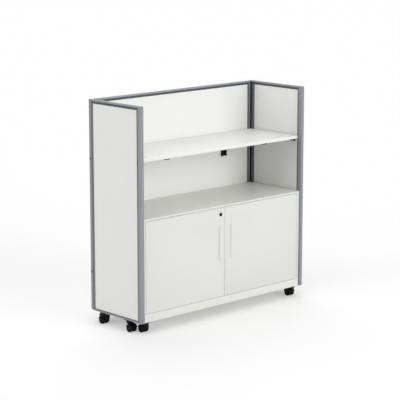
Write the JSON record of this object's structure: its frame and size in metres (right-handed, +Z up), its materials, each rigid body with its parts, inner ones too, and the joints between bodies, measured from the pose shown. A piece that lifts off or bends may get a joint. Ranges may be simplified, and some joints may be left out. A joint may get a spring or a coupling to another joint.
{
  "type": "mobile folding office station",
  "caption": "Mobile office storage station: white two-door cupboard and upper shelf inside grey-framed screens, with hinged side wings on casters.",
  "frame": {"origin": "on the floor under the middle of the unit", "axes": "+Z up, front with the doors towards -Y, +X to the right seen from the front"},
  "size_m": [1.2212, 0.41, 1.187],
  "materials": {
    "white_board": "white melamine faced board with matching edge band, satin",
    "back_board": "thin white faced hardboard",
    "screen_white": "white laminate infill, fine texture",
    "frame_aluminium": "grey powder coated extrusion, satin",
    "corner_plastic": "grey moulded plastic",
    "black_steel": "black powder coat, satin",
    "bright_steel": "zinc plated steel",
    "caster_nylon": "black moulded nylon",
    "caster_tread": "black moulded nylon wheel",
    "lock_black": "black plated lock",
    "catch_plastic": "white moulded plastic",
    "bush_plastic": "natural acetal",
    "pull_plastic": "pale grey moulded plastic, satin"
  },
  "bodies": {
    "cabinet": {"back_screen_corners": "corner_plastic", "back_screen_infill": "screen_white", "back_screen_posts": "frame_aluminium", "back_screen_rails": "frame_aluminium", "cabinet_back": "back_board", "cabinet_caster_plates": "black_steel", "cabinet_floor": "white_board", "cabinet_plinth": "white_board", "cabinet_top": "white_board", "door_catches": "catch_plastic", "door_pivot_bushes": "bush_plastic", "inner_shelf": "white_board", "left_side": "white_board", "lock_strike": "bright_steel", "right_side": "white_board", "screen_bolts": "bright_steel", "shelf_brackets": "black_steel", "shelf_pegs": "bright_steel", "upper_shelf": "white_board", "wing_hinge_fixed_leaves": "black_steel", "wing_hinge_pins": "bright_steel"},
    "left_wing": {"left_wing_caster_plates": "frame_aluminium", "left_wing_corners": "corner_plastic", "left_wing_hinge_leaf": "black_steel", "left_wing_infill": "screen_white", "left_wing_posts": "frame_aluminium", "left_wing_rails": "frame_aluminium", "left_wing_shelf_ledge": "black_steel"},
    "right_wing": {"right_wing_caster_plates": "frame_aluminium", "right_wing_corners": "corner_plastic", "right_wing_hinge_leaf": "black_steel", "right_wing_infill": "screen_white", "right_wing_posts": "frame_aluminium", "right_wing_rails": "frame_aluminium", "right_wing_shelf_ledge": "black_steel"},
    "left_door": {"left_door": "white_board", "left_door_fittings": "bright_steel", "left_door_pull": "pull_plastic", "lock_housing": "lock_black"},
    "right_door": {"right_door": "white_board", "right_door_fittings": "bright_steel", "right_door_pull": "pull_plastic"},
    "lock": {"lock_cam": "bright_steel", "lock_plug": "lock_black"},
    "cabinet_front_left_caster": {"cabinet_front_left_fork": "caster_nylon"},
    "cabinet_front_left_wheel_pair": {"cabinet_front_left_wheels": "caster_tread"},
    "cabinet_front_right_caster": {"cabinet_front_right_fork": "caster_nylon"},
    "cabinet_front_right_wheel_pair": {"cabinet_front_right_wheels": "caster_tread"},
    "cabinet_rear_left_caster": {"cabinet_rear_left_fork": "caster_nylon"},
    "cabinet_rear_left_wheel_pair": {"cabinet_rear_left_wheels": "caster_tread"},
    "cabinet_rear_right_caster": {"cabinet_rear_right_fork": "caster_nylon"},
    "cabinet_rear_right_wheel_pair": {"cabinet_rear_right_wheels": "caster_tread"},
    "left_wing_front_caster": {"left_wing_front_fork": "caster_nylon"},
    "left_wing_front_wheel_pair": {"left_wing_front_wheels": "caster_tread"},
    "left_wing_rear_caster": {"left_wing_rear_fork": "caster_nylon"},
    "left_wing_rear_wheel_pair": {"left_wing_rear_wheels": "caster_tread"},
    "right_wing_front_caster": {"right_wing_front_fork": "caster_nylon"},
    "right_wing_front_wheel_pair": {"right_wing_front_wheels": "caster_tread"},
    "right_wing_rear_caster": {"right_wing_rear_fork": "caster_nylon"},
    "right_wing_rear_wheel_pair": {"right_wing_rear_wheels": "caster_tread"}
  },
  "joints": [
    {"name": "left_door_swing", "type": "hinge", "parent": "cabinet", "child": "left_door", "pos_m": [-0.54154, -0.1875, 0.34], "axis": [0, 0, -1], "range_deg": [0, 110]},
    {"name": "right_door_swing", "type": "hinge", "parent": "cabinet", "child": "right_door", "pos_m": [0.54154, -0.1875, 0.34], "axis": [0, 0, 1], "range_deg": [0, 110]},
    {"name": "lock_turn", "type": "hinge", "parent": "left_door", "child": "lock", "pos_m": [-0.03, -0.188, 0.554], "axis": [0, 1, 0], "range_deg": [0, 90]},
    {"name": "left_wing_fold", "type": "hinge", "parent": "cabinet", "child": "left_wing", "pos_m": [-0.575, 0.2, 0.62], "axis": [0, 0, -1], "range_deg": [0, 90]},
    {"name": "right_wing_fold", "type": "hinge", "parent": "cabinet", "child": "right_wing", "pos_m": [0.575, 0.2, 0.62], "axis": [0, 0, 1], "range_deg": [0, 90]},
    {"name": "cabinet_front_left_swivel", "type": "hinge", "parent": "cabinet", "child": "cabinet_front_left_caster", "pos_m": [-0.548, -0.169, 0.045], "axis": [0, 0, 1], "continuous": true},
    {"name": "cabinet_front_left_roll", "type": "hinge", "parent": "cabinet_front_left_caster", "child": "cabinet_front_left_wheel_pair", "pos_m": [-0.548, -0.156, 0.02], "axis": [1, 0, 0], "continuous": true},
    {"name": "cabinet_front_right_swivel", "type": "hinge", "parent": "cabinet", "child": "cabinet_front_right_caster", "pos_m": [0.548, -0.169, 0.045], "axis": [0, 0, 1], "continuous": true},
    {"name": "cabinet_front_right_roll", "type": "hinge", "parent": "cabinet_front_right_caster", "child": "cabinet_front_right_wheel_pair", "pos_m": [0.548, -0.156, 0.02], "axis": [1, 0, 0], "continuous": true},
    {"name": "cabinet_rear_left_swivel", "type": "hinge", "parent": "cabinet", "child": "cabinet_rear_left_caster", "pos_m": [-0.548, 0.169, 0.045], "axis": [0, 0, 1], "continuous": true},
    {"name": "cabinet_rear_left_roll", "type": "hinge", "parent": "cabinet_rear_left_caster", "child": "cabinet_rear_left_wheel_pair", "pos_m": [-0.548, 0.156, 0.02], "axis": [1, 0, 0], "continuous": true},
    {"name": "cabinet_rear_right_swivel", "type": "hinge", "parent": "cabinet", "child": "cabinet_rear_right_caster", "pos_m": [0.548, 0.169, 0.045], "axis": [0, 0, 1], "continuous": true},
    {"name": "cabinet_rear_right_roll", "type": "hinge", "parent": "cabinet_rear_right_caster", "child": "cabinet_rear_right_wheel_pair", "pos_m": [0.548, 0.156, 0.02], "axis": [1, 0, 0], "continuous": true},
    {"name": "left_wing_front_swivel", "type": "hinge", "parent": "left_wing", "child": "left_wing_front_caster", "pos_m": [-0.59, -0.098, 0.045], "axis": [0, 0, 1], "continuous": true},
    {"name": "left_wing_front_roll", "type": "hinge", "parent": "left_wing_front_caster", "child": "left_wing_front_wheel_pair", "pos_m": [-0.59, -0.111, 0.02], "axis": [1, 0, 0], "continuous": true},
    {"name": "left_wing_rear_swivel", "type": "hinge", "parent": "left_wing", "child": "left_wing_rear_caster", "pos_m": [-0.59, 0.098, 0.045], "axis": [0, 0, 1], "continuous": true},
    {"name": "left_wing_rear_roll", "type": "hinge", "parent": "left_wing_rear_caster", "child": "left_wing_rear_wheel_pair", "pos_m": [-0.59, 0.111, 0.02], "axis": [1, 0, 0], "continuous": true},
    {"name": "right_wing_front_swivel", "type": "hinge", "parent": "right_wing", "child": "right_wing_front_caster", "pos_m": [0.59, -0.098, 0.045], "axis": [0, 0, 1], "continuous": true},
    {"name": "right_wing_front_roll", "type": "hinge", "parent": "right_wing_front_caster", "child": "right_wing_front_wheel_pair", "pos_m": [0.59, -0.111, 0.02], "axis": [1, 0, 0], "continuous": true},
    {"name": "right_wing_rear_swivel", "type": "hinge", "parent": "right_wing", "child": "right_wing_rear_caster", "pos_m": [0.59, 0.098, 0.045], "axis": [0, 0, 1], "continuous": true},
    {"name": "right_wing_rear_roll", "type": "hinge", "parent": "right_wing_rear_caster", "child": "right_wing_rear_wheel_pair", "pos_m": [0.59, 0.111, 0.02], "axis": [1, 0, 0], "continuous": true}
  ]
}
